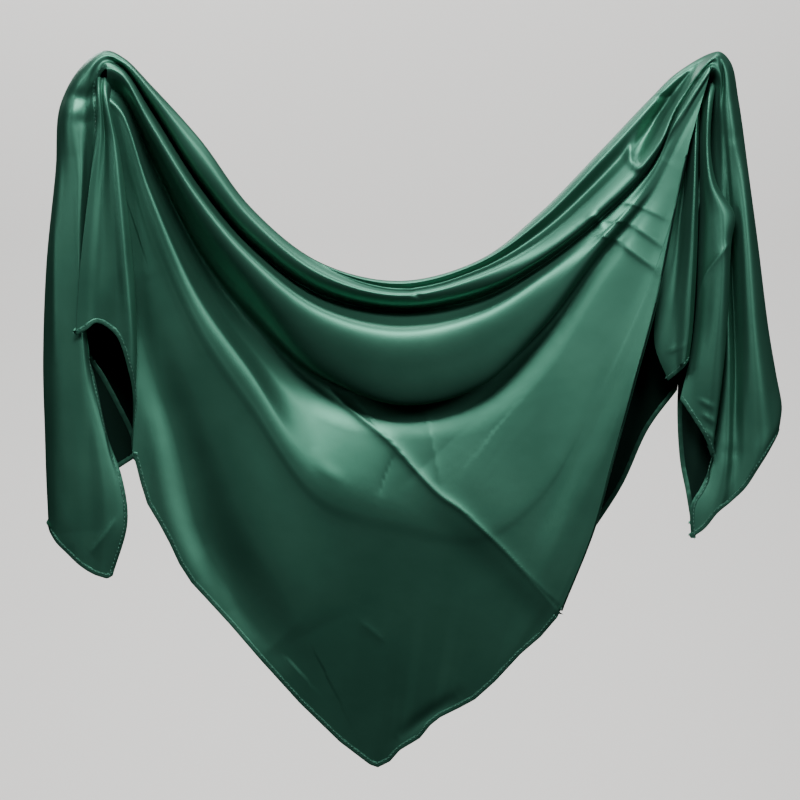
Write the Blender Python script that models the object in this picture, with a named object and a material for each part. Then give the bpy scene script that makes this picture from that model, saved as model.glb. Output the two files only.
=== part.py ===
"""A square satin headscarf, folded corner to corner and hung from two hold points.

The cloth falls from the left hold to the right one in swags, and past each hold a corner
hangs down as a tail with a few pleats in front of it. The front corner hangs in the middle,
and the back corner hangs behind it.

Every surface is first laid out in millimetres as (across, up, forward): across runs to the
viewer's right, up is up, and forward comes out towards the viewer, which is -Y. The origin is
the left hold. Fold lines are rows in the tables; smooth curves run along them and across
them, and the surface between them gets a wall of cloth.
"""

from collections import namedtuple

import bpy
import numpy as np

# ---------------------------------------------------------------- driving dimensions (mm)
METRE = 0.001            # one millimetre, in metres
WALL = 1.2               # thickness of the cloth wall
SEAM = 0.35              # how far each stretch stops short of the line it shares
ROOT = 0.7               # the same where swags and tails meet over a hold
HALF = 0.5               # a stretch ends half way between two strands, where the cloth is straight
TUCK = 3.0               # how far the front fall passes behind the left pleats
LIFT = 2.2               # how far in front of it they end
EDGE_ROLL = 2.2          # radius of the right fold of the front fall
EDGE_FLAP = 22.0         # cloth turned back behind that fold
EDGE_GROWTH = 8          # rows over which that fold opens to its full size
SWAG_STEPS = 3           # facets between two neighbouring stations of a swag
TAIL_STEPS = 2           # facets between two neighbouring stations of a tail
ROLL_ROWS = 11           # rows of facets' corners across the upper roll
SECOND_ROWS = 13         # the same across the second swag
FRONT_ROWS = 8           # rows of guide points down the front fall
FALL_START = 8           # the front sheet's row where the third swag ends and the fall starts
FIRST_TURNED = 9         # its first row with the right edge turned back
TURNED_COLUMNS = 6       # columns of that edge's roll and flap
BACK_ROWS = 9            # the same down the back fall
FRONT_EASE = 1.8         # how fast the front fall flattens below its last ridge
BACK_EASE = 1.5          # the same on the back fall

SATIN = dict(color=(0.030, 0.115, 0.082, 1.0), roughness=0.38, metallic=0.0)
SATIN_INSIDE = dict(color=(0.012, 0.045, 0.034, 1.0), roughness=0.6, metallic=0.0)

# ---------------------------------------------------------------- swags, hold to hold
# Where along the span each swag is measured.
STATIONS = dict(left_neck=14, left_arm=35, left_mid_arm=72, left_low_arm=110, left_low=162,
                lowest=222, right_low=282, right_low_arm=327, right_mid_arm=372,
                right_arm=410, right_neck=432)

# A strand is one fold line of cloth that hangs from the left hold to the right one, from the
# back of the scarf over its top edge to the front. root: where it crosses the hold.
# forward: its depth at left_mid_arm, lowest and right_mid_arm. drops: its drop at each station.
Strand = namedtuple("Strand", "name left_root forward drops right_root")
STRANDS = (
    Strand("back_swag", (0, -3, -28), (-24, -27, -24),
           (10, 48, 104, 160, 212, 235, 215, 174, 120, 68, 34), (461, -3, -28)),
    Strand("back_valley", (0, 2, -26), (-17, -16, -16),
           (4, 34, 80, 134, 181, 200, 183, 146, 97, 51, 23), (461.5, 2, -26)),
    Strand("back_roll", (0, 6, -23), (-20, -20, -19),
           (-1, 24, 66, 118, 161, 178, 162, 127, 80, 38, 15), (462, 6, -23)),
    Strand("back_top", (0, 8.5, -19), (-16, -14, -14),
           (-4, 18, 59, 110, 151, 168, 150, 115, 69, 29, 8.5), (462, 8.5, -19)),
    Strand("top_edge", (0, 9.5, -15), (-12, -8, -8),
           (-4, 17, 58, 109, 150, 164, 148, 113, 67, 27, 6), (462, 9, -15)),
    Strand("edge_roll", (0, 9.5, -10.5), (-8, -4, 0),
           (-4, 17, 58, 109, 151, 166, 150, 119, 74, 33, 10.5), (462, 9, -10.5)),
    Strand("crease", (0, 9, -6), (-5, -4, -5),
           (-3, 18, 59, 110, 152, 170, 155, 128, 87, 44, 16), (461, 8, -6)),
    Strand("roll_crest", (0, 7.5, -1), (2, 6, 7),
           (-2, 21, 68, 117, 159, 175, 161, 137, 97, 56, 22), (460, 6, -1)),
    Strand("roll_under", (1, 4.5, 3), (-2, 2, 2),
           (1, 29, 85, 130, 168, 182, 170, 147, 110, 72, 28.5), (458.5, 3, 3)),
    Strand("valley_1", (1.5, 0.5, 3), (-11, -11, -4),
           (4, 35, 93, 137, 174, 186, 177, 153, 118, 79, 33), (457, -1, 3)),
    Strand("swag_slope", (2, -2.5, 6), (-4, 0, 0),
           (7, 39, 97, 141, 180, 193, 183, 157, 124, 83, 37.5), (455.5, -4, 5)),
    Strand("swag_crest", (3, -6, 9), (9, 15, 6),
           (10, 44, 100, 146, 187, 203, 190, 163, 129, 87, 42), (454, -8, 6)),
    Strand("belly", (3, -11, 7.5), (8, 20, 7),
           (16, 54, 115, 161, 209, 231, 215, 181, 134, 91, 46.5), (453, -12, 6)),
    Strand("belly_edge", (3, -15, 5), (2, 12, 2),
           (22, 63, 131, 179, 232, 257, 243, 200, 139, 95, 51), (452, -16, 6)),
    Strand("valley_2", (3, -19, 3), (-12, -4, -4),
           (27, 74, 145, 196, 244, 257, 246, 210, 147, 100, 56.5), (449.5, -24, 6)),
    Strand("panel", (3, -23, 4), (-2, 6, 5),
           (32, 86, 162, 215, 270, 288, 276, 232, 163, 109, 65), (445, -39, 7)),
    Strand("ridge_3", (3, -28, 6), (12, 20, 9),
           (38, 96, 178, 233, 307, 327, 316, 269, 187, 126, 77), (439, -60, 8)),
)

# ---------------------------------------------------------------- front and back falls
# Side lines of the front fall, from the hold down to the hem: (across, up, forward).
FRONT_LEFT = ((3, -28, 6), (6, -55, 2), (11, -85, -1), (15, -125, -1),
              (18, -170, 1), (21, -215, 5), (22, -255, 7), (22, -292, 8))
FRONT_RIGHT = ((439, -60, 8), (434, -79, 9), (429.5, -103, 9), (419, -160, 9), (407, -207, 8),
               (392, -261, 7), (377, -315, 6), (365, -357, 5), (343, -411, 3))
# Where the hem meets each line that drops from the strands' stations, root to root.
FRONT_HEM_ACROSS = (22, 25, 33, 57, 94, 147, 205.5, 252, 278, 300, 318, 331, 343)
FRONT_HEM_FORWARD = (8, 8, 8, 7, 5, 2, 0, 0, 0, 1, 2, 3, 3)
# Outline of the front hem, left to right, round the front corner: (across, up).
FRONT_HEM = ((22, -292), (25, -303), (28, -315), (33, -331), (42, -346), (49.5, -360),
             (57, -376), (66, -390), (78, -403), (94.5, -421), (117, -447), (147, -480),
             (177, -509), (199.5, -526), (205.5, -528), (214.5, -523.5), (222, -515),
             (237, -506), (244.5, -496.5), (252, -490.5), (267, -483), (278, -477),
             (293, -463.5), (312, -443), (327, -430), (343, -411))

BACK_LEFT = ((0, -3, -28), (-2, -40, -27), (-8, -100, -25), (-15, -160, -24), (-20, -205, -22))
BACK_RIGHT = ((461, -3, -28), (458, -40, -27), (452, -100, -25), (441, -175, -23),
              (429, -245, -20))
BACK_HEM = ((-20, -205, -22), (-8, -224, -22), (5, -246, -22), (19, -275, -22),
            (72, -345, -22), (147, -433, -21), (222, -478, -20), (297, -430, -20),
            (345, -385, -20), (366, -355, -20), (390, -318, -20), (410, -275, -20),
            (429, -245, -20))

# Folds that fan out from a hold across a fall: height (a trough is negative), half width and
# the fold's path from the hold towards the hem.
Fold = namedtuple("Fold", "name height half_width path")
FRONT_FOLDS = (
    Fold("valley_4", -8, 20, ((23, -90), (35, -135), (48, -171), (57, -201), (65, -238), (76, -276),
                              (91, -313), (102, -343), (110, -373), (121, -396), (132, -418),
                              (150, -445))),
    Fold("ridge_4", 3, 11, ((26, -201), (32, -223), (35, -253), (40, -283), (46, -313), (53, -343),
                           (61, -366), (72, -392))),
)
BACK_FOLDS = (
    Fold("left_fan", -6, 22, ((8, -60), (22, -120), (45, -185), (75, -250), (110, -320), (140, -380))),
    Fold("right_fan", -6, 22, ((450, -60), (436, -120), (412, -185), (380, -255), (345, -320),
                               (310, -375))),
    Fold("mid_swag", -7, 20, ((120, -215), (170, -265), (222, -285), (280, -268), (335, -215))),
)

# ---------------------------------------------------------------- tails and pleats
# Each row is a fold line that falls from the hold to the hem, and each column a height on it:
# (across, up, forward). Rows run round the tail from its back hem to its front hem, and go on
# from the ends of the strands back_valley to swag_crest.
Tail = namedtuple("Tail", "name neck shoulder upper chest middle lower foot heel hem")
LEFT_TAIL = (
    Tail("back_hem", (-8, -10, -21), (-14, -40, -17), (-15, -85, -16), (-19, -150, -15),
         (-20, -205, -14), (-6, -228, -13), (5, -246, -12), (19, -275, -11), (21, -292, -10)),
    Tail("back_mid", (-14, -8, -20), (-24, -38, -17), (-26, -82, -17), (-31, -150, -16),
         (-33, -215, -15), (-26, -250, -14), (-18, -275, -13), (-8, -300, -12), (0, -312, -11)),
    Tail("back_turn", (-18, -7, -16), (-31, -35, -15), (-34, -80, -15), (-41, -150, -15),
         (-43, -222, -14), (-41, -270, -13), (-39, -300, -12), (-36, -325, -11), (-34, -342, -10)),
    Tail("left_fold", (-20, -6, -10), (-34, -33, -9), (-37, -80, -9), (-44, -150, -9),
         (-46.5, -225, -8), (-45, -280, -7), (-44, -310, -6), (-43, -332, -6), (-42, -348, -5)),
    Tail("fold_line", (-18, -4, -4), (-32, -34, -3), (-34, -82, -2), (-38.5, -150, -2),
         (-39.5, -230, -2), (-38.5, -285, -1), (-38, -315, 0), (-37.5, -340, 0), (-37, -359, 0)),
    Tail("outer", (-15, -4, 1), (-28, -36, 4), (-29, -84, 5), (-31, -150, 5),
         (-31, -232, 5), (-30, -290, 5), (-29, -320, 4), (-28.5, -347, 4), (-28, -368, 3)),
    Tail("crest", (-12, -4, 4), (-23, -38, 7), (-23, -86, 8), (-23, -150, 8),
         (-22, -234, 8), (-20, -292, 8), (-19, -325, 7), (-18, -353, 6), (-17, -378, 5)),
    Tail("slope", (-9, -5, 6), (-17, -40, 6), (-17, -88, 7), (-16, -150, 6),
         (-14, -236, 7), (-10, -294, 8), (-8, -328, 8), (-7.5, -356, 7), (-7, -384, 6)),
    Tail("trough", (-7, -8, 4), (-12, -42, 3), (-12, -90, 3), (-10, -150, 2),
         (-8, -238, 5), (-3, -292, 9), (1, -326, 10), (1, -357, 9), (-1, -386, 7)),
    Tail("band", (-6, -11, 3), (-8, -44, 0), (-8, -92, 0), (-6, -150, -1),
         (-5, -240, 3), (3, -290, 7), (9, -322, 8), (9, -352, 8), (3, -387, 6)),
    Tail("front_hem", (-4, -14, 2), (-4, -46, -1), (-4, -94, -2), (-3, -150, -2),
         (-4.5, -236, 0), (3, -281, 3), (14, -312, 4), (18, -345, 4), (7, -385, 5)),
)
RIGHT_TAIL = (
    Tail("back_hem", (465.5, -5, -18), (458, -40, -13), (447, -90, -13), (438, -150, -13),
         (433, -220, -13), (431, -262, -12), (433, -300, -10), (437, -322, -8), (441, -348, -5)),
    Tail("back_mid", (468, -3, -17.5), (467, -36, -16), (464, -88, -16), (465, -148, -16),
         (466, -215, -16), (466, -262, -15), (466, -295, -13), (464, -315, -12), (463, -328, -10)),
    Tail("back_turn", (470, -3, -17), (475, -32, -16), (481, -84, -16), (488, -140, -15),
         (495, -205, -14), (500, -240, -13), (502, -262, -12), (501, -273, -12), (499, -283, -11)),
    Tail("right_fold", (471, 1, -11), (477, -28, -10), (484, -81, -9), (491, -135, -8),
         (499, -200, -7), (505, -235, -7), (509, -258, -6), (508, -268, -5), (506, -278, -5)),
    Tail("stripe", (469, 0, -5), (474, -30, -3), (480, -82, -1), (486, -137, 1),
         (492, -205, 2), (497, -243, 2), (500, -268, 2), (501, -280, 2), (499, -291, 2)),
    Tail("stripe_side", (467, -2, -1), (470, -32, 2), (475, -84, 4), (480, -140, 6),
         (485, -210, 7), (488, -250, 7), (490, -278, 6), (491, -292, 6), (490, -305, 5)),
    Tail("face", (465, -4, 1), (467, -34, 3), (471, -86, 4), (475, -143, 4),
         (479, -215, 4), (480, -257, 4), (481, -290, 4), (481, -305, 4), (481, -319, 4)),
    Tail("trough", (464, -6, -1), (464, -36, 0), (468, -88, 0), (471, -146, -1),
         (474, -220, -1), (474, -265, 0), (473, -300, 0), (472, -316, 1), (470, -330, 1)),
    Tail("ridge", (462, -9, 2), (462, -38, -2), (465, -90, 0), (467, -149, 1),
         (469, -225, 3), (468, -272, 3), (465, -310, 4), (463, -326, 4), (460, -338, 4)),
    Tail("under", (461, -12, 1), (460, -40, -6), (461, -92, -3), (462, -152, -3),
         (463, -230, -2), (460, -280, 0), (456, -318, 3), (453, -335, 4), (450, -350, 4)),
    Tail("front_hem", (459.5, -16, 0), (458, -42, -9), (456, -95, -7), (457, -155, -7),
         (457, -235, -5), (455, -300, -2), (448, -318, 1), (440, -332, 2), (440, -357, 2)),
)

Pleat = namedtuple("Pleat", "name neck upper chest middle low hem")
LEFT_PLEATS = (
    Pleat("return", (0, -20, 1.2), (-0.5, -50, 2), (-4, -95, 5), (-8, -150, 8),
          (-10, -178, 9), (-12, -196, 9)),
    Pleat("outer_edge", (-4.6, -20, 8.2), (-5, -51, 9), (-10, -95, 12), (-16.5, -152, 13),
          (-18.5, -180, 13), (-20, -205, 13)),
    Pleat("outer_face", (-2.9, -21, 10), (-2, -52, 11), (-6, -96, 12), (-11, -152, 13),
          (-12, -178, 13), (-12, -201, 13)),
    Pleat("valley", (-1.2, -22, 7.7), (1, -55, 8), (-1, -103, 8), (-3, -155, 9),
          (-4, -176, 10), (-4.5, -196, 10)),
    Pleat("crest", (0.8, -23.5, 10), (4.5, -60, 13), (7, -103, 17), (10, -150, 18),
          (9.5, -182, 17), (7, -211, 15)),
    Pleat("crest_side", (2.6, -25, 10.5), (9, -63, 12), (13, -103, 15), (17, -150, 16),
          (19, -195, 15), (15, -232, 13)),
    Pleat("inner_edge", (4, -27, 9.3), (12, -66, 9), (17, -103, 11), (22, -150, 12),
          (25, -212, 12), (19.5, -250, 12.5)),
)

Lappet = namedtuple("Lappet", "name neck upper bend tip notch middle low hem")
RIGHT_OUTER_PLEAT = (
    Lappet("return", (453, -26, -5), (451, -66, -2), (452, -92, -1), (458, -115, 1),
           (460, -140, 0), (459, -190, -0.5), (456, -235, 0.5), (452, -288, 3)),
    Lappet("outer_edge", (457, -28, -1), (454.5, -66, 4), (459, -92, 6), (472, -115, 7),
           (469.5, -137, 8), (467, -190, 9), (463, -235, 9), (455, -296, 6)),
    Lappet("face", (453.5, -29, 3), (451.5, -66, 8), (454, -92, 12), (462, -115, 14),
           (463, -137, 15), (460, -190, 15), (456, -232, 13), (451, -284, 8)),
    Lappet("side", (451, -30, 0), (449.5, -66, 4), (450, -92, 7), (453, -115, 9),
           (453, -137, 9), (451, -190, 9), (447, -228, 9), (443, -270, 6)),
    Lappet("valley", (448, -32, -5), (447, -66, -1.8), (447, -92, 0.2), (447, -115, 0.2),
           (446, -137, 0.6), (444, -185, 0.6), (440, -217, 1.6), (432, -253, 2)),
)
RIGHT_INNER_PLEAT = (
    Lappet("turn", (447, -40, -2), (445.5, -66, 2), (445.2, -92, 4), (445, -115, 5),
           (444.5, -137, 5), (442.5, -178, 5), (440.5, -205, 5), (438, -224, 5)),
    Lappet("crest", (444.5, -40, 1), (443, -66, 7), (442, -92, 11), (441, -115, 13),
           (440, -140, 13), (438, -178, 13), (436.5, -206, 12), (434, -229, 10)),
    Lappet("face", (440, -43, -4), (438, -70, -1), (435, -97, 0), (432, -120, 1),
           (430, -143, 2), (427, -178, 4), (427, -208, 5), (429, -234, 6)),
    Lappet("inner_edge", (436, -48, -4), (432, -75, 0.5), (428, -100, 2.5), (424, -122, 4),
           (421, -145, 3.5), (415, -178, 2.7), (413, -212, 1), (423, -239, 2)),
)


# ---------------------------------------------------------------- curves and surfaces
def through(points, where):
    """Smooth curves through rows of points, read at fractional row numbers."""
    rows = np.asarray(points, float)
    step = np.linalg.norm(np.diff(rows, axis=0), axis=-1, keepdims=True)
    step = np.sqrt(np.maximum(step, 0.01))
    slope = np.diff(rows, axis=0) / step
    middle = (slope[:-1] * step[1:] + slope[1:] * step[:-1]) / (step[:-1] + step[1:])
    tangent = np.concatenate([slope[:1], middle, slope[-1:]])
    where = np.asarray(where, float)
    row = np.minimum(where.astype(int), len(rows) - 2)
    part = (where - row).reshape((-1,) + (1,) * (rows.ndim - 1))
    ease = 3 * part**2 - 2 * part**3
    reach = step[row]
    return ((1 - ease) * rows[row] + ease * rows[row + 1]
            + (part**3 - 2 * part**2 + part) * reach * tangent[row]
            + (part**3 - part**2) * reach * tangent[row + 1])


def curve(x, known_x, known_y):
    """Smooth value at x of a table whose first column rises."""
    known_x = np.asarray(known_x, float)
    known_y = np.asarray(known_y, float)
    step = np.diff(known_x)
    slope = np.diff(known_y) / step
    rising = slope[:-1] * slope[1:] > 0
    total = np.where(rising, slope[:-1] + slope[1:], 1)
    middle = np.where(rising, 2 * slope[:-1] * slope[1:] / total, 0)
    tangent = np.concatenate([slope[:1], middle, slope[-1:]])
    x = np.asarray(x, float)
    row = np.clip(np.searchsorted(known_x, x, side="right") - 1, 0, len(known_x) - 2)
    part = np.clip((x - known_x[row]) / step[row], 0, 1)
    ease = 3 * part**2 - 2 * part**3
    return ((1 - ease) * known_y[row] + ease * known_y[row + 1]
            + (part**3 - 2 * part**2 + part) * step[row] * tangent[row]
            + (part**3 - part**2) * step[row] * tangent[row + 1])


def even(rows, steps):
    """Fractional row numbers with the same number of steps between all rows."""
    return np.linspace(0, rows - 1, (rows - 1) * steps + 1)


def strand_points(strand):
    """The points of one strand, from its left root to its right one."""
    across = tuple(STATIONS.values())
    near_left, middle, near_right = strand.forward
    known_x = (strand.left_root[0], STATIONS["left_mid_arm"], STATIONS["lowest"],
               STATIONS["right_mid_arm"], strand.right_root[0])
    known_y = (strand.left_root[2], near_left, middle, near_right, strand.right_root[2])
    forward = curve(across, known_x, known_y)
    hung = [(x, -drop, y) for x, drop, y in zip(across, strand.drops, forward)]
    return np.array([strand.left_root] + hung + [strand.right_root], float)


def strand_number(name):
    return [strand.name for strand in STRANDS].index(name)


def beyond_root(strand, tail, root, inner):
    """The next point past a root: on the tail's line where there is one, else straight on."""
    row = strand_number(strand.name) - strand_number("back_valley")
    if 0 <= row < len(tail):
        return np.array(tail[row].neck, float)
    return 2 * root - inner


def strand_lines():
    """The curves of all strands, from the back of the scarf to the front."""
    where = even(len(STATIONS) + 2, SWAG_STEPS) + 1
    lines = []
    for strand in STRANDS:
        points = strand_points(strand)
        before = beyond_root(strand, LEFT_TAIL, points[0], points[1])
        after = beyond_root(strand, RIGHT_TAIL, points[-1], points[-2])
        lines.append(through(np.vstack([before, points, after]), where))
    return np.stack(lines)


def front_hem_line():
    """The front hem, at the lines that drop from the strands' stations."""
    count = len(FRONT_HEM_ACROSS)
    where = even(count, SWAG_STEPS)
    across = curve(where, range(count), FRONT_HEM_ACROSS)
    forward = curve(where, range(count), FRONT_HEM_FORWARD)
    outline = np.array(FRONT_HEM, float)
    up = np.interp(across, outline[:, 0], outline[:, 1])
    return np.column_stack([across, up, forward])


def fill(top, bottom, left, right, ease):
    """A sheet between four side lines. Its depth eases from the top line to the bottom one."""
    side = np.linspace(0, 1, len(top))[None, :, None]
    down = np.linspace(0, 1, len(left))[:, None, None]
    eased = 1 - (1 - down) ** ease
    down = np.concatenate([down, down, eased], axis=2)
    return ((1 - down) * top[None] + down * bottom[None]
            + (1 - side) * left[:, None] + side * right[:, None]
            - (1 - side) * (1 - down) * top[0] - side * (1 - down) * top[-1]
            - (1 - side) * down * bottom[0] - side * down * bottom[-1])


def raise_fold(sheet, fold):
    """Lifts a soft ridge, or sinks a trough, along a fold's path."""
    path = np.array(fold.path, float)
    path = through(path, even(len(path), 4))
    flat = sheet.reshape(-1, 3)
    lengths = np.linalg.norm(np.diff(path, axis=0), axis=1)
    start = np.concatenate([[0], np.cumsum(lengths)])
    nearest = np.full(len(flat), np.inf)
    along = np.zeros(len(flat))
    for k, length in enumerate(lengths):
        direction = (path[k + 1] - path[k]) / length
        offset = flat[:, :2] - path[k]
        reach = np.clip(offset @ direction, 0, length)
        distance = np.linalg.norm(offset - reach[:, None] * direction, axis=1)
        closer = distance < nearest
        nearest = np.where(closer, distance, nearest)
        along = np.where(closer, (start[k] + reach) / start[-1], along)
    fade = np.sin(np.pi * np.clip(along, 0.02, 0.98)) ** 0.6
    flat[:, 2] += fold.height * fade * np.exp(-(nearest / fold.half_width) ** 2)
    return flat.reshape(sheet.shape)


def turn_back(sheet, first_row):
    """Rolls a sheet's right edge to its back from first_row down, with a flap behind it."""
    edge = sheet[:, -1].copy()
    down = np.gradient(edge, axis=0)
    inward = np.column_stack([down[:, 1], -down[:, 0], np.zeros(len(edge))])
    inward /= np.linalg.norm(inward, axis=1, keepdims=True)
    grown = np.clip((np.arange(len(sheet)) - first_row) / EDGE_GROWTH, 0, 1)[:, None]
    radius = EDGE_ROLL * (0.7 + 0.3 * grown)
    flap = EDGE_FLAP * (0.15 + 0.85 * grown)
    behind = np.array([0, 0, -1.0])
    for column, share in enumerate((1.0, 0.8, 0.6, 0.4, 0.2), start=1):
        sheet[first_row:, -column] += (inward * radius * share)[first_row:]
    columns = [sheet]
    for angle in np.radians((45, 90, 135, 180)):
        rolled = edge + inward * radius * (1 - np.sin(angle)) + behind * radius * (1 - np.cos(angle))
        columns.append(rolled[:, None])
    for reach in (0.5, 1.0):
        turned = edge + inward * (radius + flap * reach) + behind * (2 * radius + reach)
        columns.append(turned[:, None])
    rolled = np.concatenate(columns, axis=1)
    rolled[:first_row, sheet.shape[1]:] = np.nan
    return rolled


def draw_in(sheet, top=0, bottom=0, left=0, right=0):
    """Stops a sheet short of the lines that it shares with its neighbours."""
    sheet = sheet.copy()
    for amount, line, next_line in ((top, sheet[0], sheet[1]), (bottom, sheet[-1], sheet[-2]),
                                    (left, sheet[:, 0], sheet[:, 1]), (right, sheet[:, -1], sheet[:, -2])):
        if amount:
            towards = next_line - line
            line += amount * towards / np.linalg.norm(towards, axis=-1, keepdims=True)
    return sheet


def tail_sheet(tail, root, inner):
    """The sheet of a tail, whose lines go on smoothly from the strands' ends."""
    first = strand_number("back_valley")
    lines = []
    for strand, row in zip(STRANDS[first:], tail):
        points = strand_points(strand)
        points = np.vstack([points[inner], points[root], row[1:]])
        lines.append(through(points, even(len(points) - 1, TAIL_STEPS) + 1))
    return through(np.stack(lines), even(len(lines), 2))


def pleat_sheet(rows, across_steps, down_steps):
    """The sheet through a table of a pleat's fold lines."""
    points = np.array([row[1:] for row in rows], float)
    lines = np.stack([through(line, even(points.shape[1], down_steps)) for line in points])
    return through(lines, even(len(lines), across_steps))


# ---------------------------------------------------------------- the stretches of cloth
def between(first, last, rows):
    """The sheet between two strand numbers, which may be fractions."""
    return through(strand_lines(), np.linspace(first, last, rows))


def upper_roll():
    first = strand_number("top_edge")
    last = strand_number("valley_1") + HALF
    return draw_in(between(first, last, ROLL_ROWS), SEAM, SEAM, ROOT, ROOT)


def second_swag():
    first = strand_number("valley_1") + HALF
    last = strand_number("belly_edge") + HALF
    return draw_in(between(first, last, SECOND_ROWS), SEAM, SEAM, ROOT, ROOT)


def front_sheet():
    """The front of the scarf below the second swag, with its right edge turned back."""
    lines = strand_lines()[strand_number("belly_edge"):]
    left = through(FRONT_LEFT, np.linspace(0, len(FRONT_LEFT) - 1, FRONT_ROWS))
    right = through(FRONT_RIGHT, np.linspace(0, len(FRONT_RIGHT) - 1, FRONT_ROWS))
    down = np.linspace(0, 1, FRONT_ROWS)
    left[:, 0] -= TUCK * np.minimum(1, 3 * down) * (1 - down**3)
    fall = fill(lines[-1], front_hem_line(), left, right, FRONT_EASE)
    guides = np.concatenate([lines[:-1], fall])
    sheet = through(guides, even(len(guides), 2)[1:])
    for fold in FRONT_FOLDS:
        sheet = raise_fold(sheet, fold)
    return turn_back(sheet, FIRST_TURNED)


def third_swag():
    upper = front_sheet()[:FALL_START + 1, :-TURNED_COLUMNS]
    return draw_in(upper, top=2 * SEAM, bottom=2 * SEAM)


def front_fall():
    return draw_in(front_sheet()[FALL_START:], top=2 * SEAM)


def back_fall():
    lines = strand_lines()[:strand_number("top_edge") + 1]
    where = np.linspace(0, 1, BACK_ROWS)
    left = through(BACK_LEFT, where * (len(BACK_LEFT) - 1))
    right = through(BACK_RIGHT, where * (len(BACK_RIGHT) - 1))
    hem = through(BACK_HEM, np.linspace(0, len(BACK_HEM) - 1, lines.shape[1]))
    body = fill(lines[0], hem, left, right, BACK_EASE)
    guides = np.concatenate([body[::-1], lines[1:]])
    upper = BACK_ROWS - 1 + even(len(lines), 2)
    sheet = through(guides, np.concatenate([np.arange(BACK_ROWS - 1), upper]))
    for fold in BACK_FOLDS:
        sheet = raise_fold(sheet, fold)
    return draw_in(sheet, bottom=SEAM, left=ROOT, right=ROOT)


def left_tail():
    return draw_in(tail_sheet(LEFT_TAIL, root=0, inner=1), left=ROOT)


def left_pleats():
    """The pleats between the left tail and the front fall, whose edge passes behind them."""
    side = through(FRONT_LEFT, np.linspace(0.1, len(FRONT_LEFT) - 1.6, len(Pleat._fields) - 1))
    side = side + np.array([0, 0, LIFT])
    rows = LEFT_PLEATS + (("fall_side",) + tuple(map(tuple, side)),)
    return pleat_sheet(rows, 2, 3)


def right_tail():
    return draw_in(tail_sheet(RIGHT_TAIL, root=-1, inner=-2), left=ROOT)


def right_outer_pleat():
    return pleat_sheet(RIGHT_OUTER_PLEAT, 2, TAIL_STEPS)


def right_inner_pleat():
    return pleat_sheet(RIGHT_INNER_PLEAT, 3, TAIL_STEPS)


# ---------------------------------------------------------------- solids
def material(name, finish):
    made = bpy.data.materials.new(name)
    made.use_nodes = True
    shader = made.node_tree.nodes["Principled BSDF"]
    shader.inputs["Base Color"].default_value = finish["color"]
    shader.inputs["Roughness"].default_value = finish["roughness"]
    shader.inputs["Metallic"].default_value = finish["metallic"]
    return made


def slope(sheet, axis):
    """Differences along an axis: central ones, and one-sided ones at the sheet's edges."""
    rows = np.moveaxis(sheet, axis, 0)
    step = np.diff(rows, axis=0)
    none = np.full_like(rows[:1], np.nan)
    ahead = np.concatenate([step, none])
    behind = np.concatenate([none, step])
    middle = (ahead + behind) / 2
    one_sided = np.where(np.isfinite(ahead), ahead, behind)
    return np.moveaxis(np.where(np.isfinite(middle), middle, one_sided), 0, axis)


def facing(sheet):
    """Unit normals of a sheet at its points."""
    normal = np.cross(slope(sheet, 0), slope(sheet, 1))
    return normal / np.maximum(np.linalg.norm(normal, axis=-1, keepdims=True), 1e-9)


def sheet_faces(there):
    """Four-sided faces between the grid points that are there, row by row."""
    rows, columns = there.shape
    faces = []
    for row in range(rows - 1):
        for column in range(columns - 1):
            corners = ((row, column), (row + 1, column), (row + 1, column + 1), (row, column + 1))
            if all(there[corner] for corner in corners):
                faces.append([r * columns + c for r, c in corners])
    return faces


def add_wall(name, sheet, finish):
    """Gives a sheet its wall and puts it in the scene, in metres."""
    there = np.isfinite(sheet[..., 0])
    half = facing(sheet) * WALL / 2
    points = np.stack([sheet + half, sheet - half])[:, there]
    count = points.shape[1]
    number = np.cumsum(there).reshape(-1) - 1
    front = [[int(number[corner]) for corner in face] for face in sheet_faces(there)]
    back = [[corner + count for corner in reversed(face)] for face in front]
    edges = {(a, b) for face in front for a, b in zip(face, face[1:] + face[:1])}
    rim = [[b, a, a + count, b + count] for a, b in sorted(edges) if (b, a) not in edges]
    points = points.reshape(-1, 3)[:, [0, 2, 1]] * (METRE, -METRE, METRE)
    mesh = bpy.data.meshes.new(name)
    mesh.from_pydata(points.tolist(), [], front + back + rim)
    mesh.update()
    mesh.shade_smooth()
    mesh.materials.append(material(name + "_cloth", finish))
    cloth = bpy.data.objects.new(name, mesh)
    bpy.context.scene.collection.objects.link(cloth)
    return cloth


def main():
    for old in list(bpy.data.objects):
        bpy.data.objects.remove(old)
    scarf = bpy.data.objects.new("scarf", None)
    bpy.context.scene.collection.objects.link(scarf)
    stretches = (("upper_roll", upper_roll, SATIN), ("second_swag", second_swag, SATIN),
                 ("third_swag", third_swag, SATIN), ("front_fall", front_fall, SATIN),
                 ("back_fall", back_fall, SATIN_INSIDE),
                 ("left_tail", left_tail, SATIN), ("left_pleats", left_pleats, SATIN),
                 ("right_tail", right_tail, SATIN), ("right_outer_pleat", right_outer_pleat, SATIN),
                 ("right_inner_pleat", right_inner_pleat, SATIN))
    for name, shape, finish in stretches:
        cloth = add_wall(name, shape(), finish)
        cloth.parent = scarf


main()
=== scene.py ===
"""Looks of the hung satin headscarf: the fine cloth, its hems and stitches, finish and light.

The cloth is laid out in millimetres as (across, up, forward), as in the construction: forward
comes out of the front, which is -Y. One grid runs over the whole scarf, from the back hem over
the top edge and down the front to the front hem, with the tails and pleats at its sides. It is
cut into pieces at dark valleys, and the pieces share its normals, so no cut shows.
"""

from collections import namedtuple

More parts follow.
